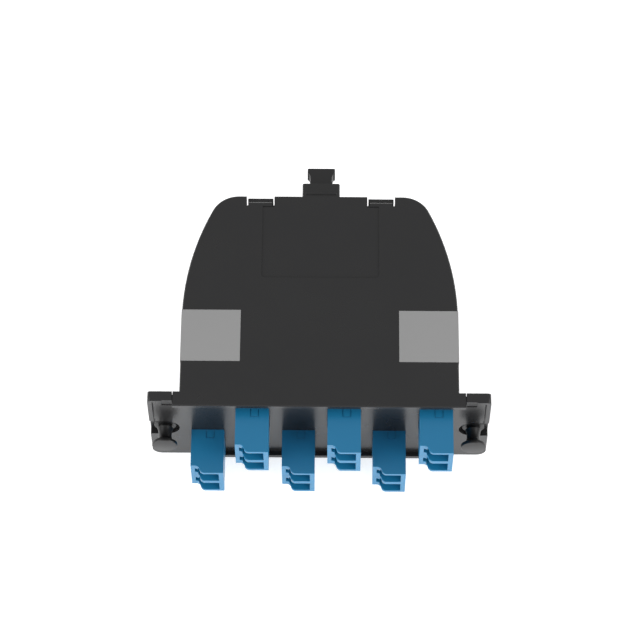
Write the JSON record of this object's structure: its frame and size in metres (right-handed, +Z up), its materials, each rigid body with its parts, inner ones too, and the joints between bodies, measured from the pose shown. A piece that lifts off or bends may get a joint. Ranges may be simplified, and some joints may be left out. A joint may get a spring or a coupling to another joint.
{
  "type": "fibre cassette",
  "caption": "Flat snap-together fibre cassette with staggered duplex adapters in front, push-pull plungers on its ears and a capped multi-fibre port at the rear.",
  "frame": {"origin": "midway between the two plunger axes, on the rear (seat) face of the ears", "axes": "+X right seen from the front, +Y from the seat face towards the rear port, +Z up through the top cover"},
  "size_m": [0.101, 0.1026, 0.0361],
  "materials": {
    "housing_black": "fine satin moulding",
    "adapter_blue": "satin moulding",
    "ceramic": "polished zirconia",
    "plug_blue": "satin moulding",
    "boot_white": "smooth",
    "fibre_jacket": "smooth",
    "fitting_black": "satin moulding",
    "boot_black": "smooth",
    "cap_black": "smooth, slightly dull",
    "fastener_black": "smooth nylon",
    "label_film": "blank printed film"
  },
  "bodies": {
    "housing": {"front_plate": "housing_black", "base_tray": "housing_black", "top_cover": "housing_black", "lc_adapter_1": "adapter_blue", "lc_sleeves_1": "ceramic", "lc_plug_1a": "plug_blue", "lc_plug_1b": "plug_blue", "lc_boots_1": "boot_white", "fibres_1": "fibre_jacket", "lc_adapter_2": "adapter_blue", "lc_sleeves_2": "ceramic", "lc_plug_2a": "plug_blue", "lc_plug_2b": "plug_blue", "lc_boots_2": "boot_white", "fibres_2": "fibre_jacket", "lc_adapter_3": "adapter_blue", "lc_sleeves_3": "ceramic", "lc_plug_3a": "plug_blue", "lc_plug_3b": "plug_blue", "lc_boots_3": "boot_white", "fibres_3": "fibre_jacket", "lc_adapter_4": "adapter_blue", "lc_sleeves_4": "ceramic", "lc_plug_4a": "plug_blue", "lc_plug_4b": "plug_blue", "lc_boots_4": "boot_white", "fibres_4": "fibre_jacket", "lc_adapter_5": "adapter_blue", "lc_sleeves_5": "ceramic", "lc_plug_5a": "plug_blue", "lc_plug_5b": "plug_blue", "lc_boots_5": "boot_white", "fibres_5": "fibre_jacket", "lc_adapter_6": "adapter_blue", "lc_sleeves_6": "ceramic", "lc_plug_6a": "plug_blue", "lc_plug_6b": "plug_blue", "lc_boots_6": "boot_white", "fibres_6": "fibre_jacket", "fan_out_block": "fitting_black", "trunk_cable": "fibre_jacket", "mpo_adapter": "fitting_black", "mpo_plug": "fitting_black", "mpo_boot": "boot_black", "grommet_left": "fastener_black", "label_left": "label_film", "grommet_right": "fastener_black", "label_right": "label_film"},
    "plunger_left": {"plunger_left": "fastener_black"},
    "plunger_right": {"plunger_right": "fastener_black"},
    "dust_cap": {"mpo_dust_cap": "cap_black"}
  },
  "joints": [
    {"name": "plunger_left_slide", "type": "slide", "parent": "housing", "child": "plunger_left", "axis": [0, -1, 0], "range_m": [0, 0.005]},
    {"name": "plunger_right_slide", "type": "slide", "parent": "housing", "child": "plunger_right", "axis": [0, -1, 0], "range_m": [0, 0.005]},
    {"name": "dust_cap_slide", "type": "slide", "parent": "housing", "child": "dust_cap", "axis": [0, 1, 0], "range_m": [0, 0.012]}
  ]
}
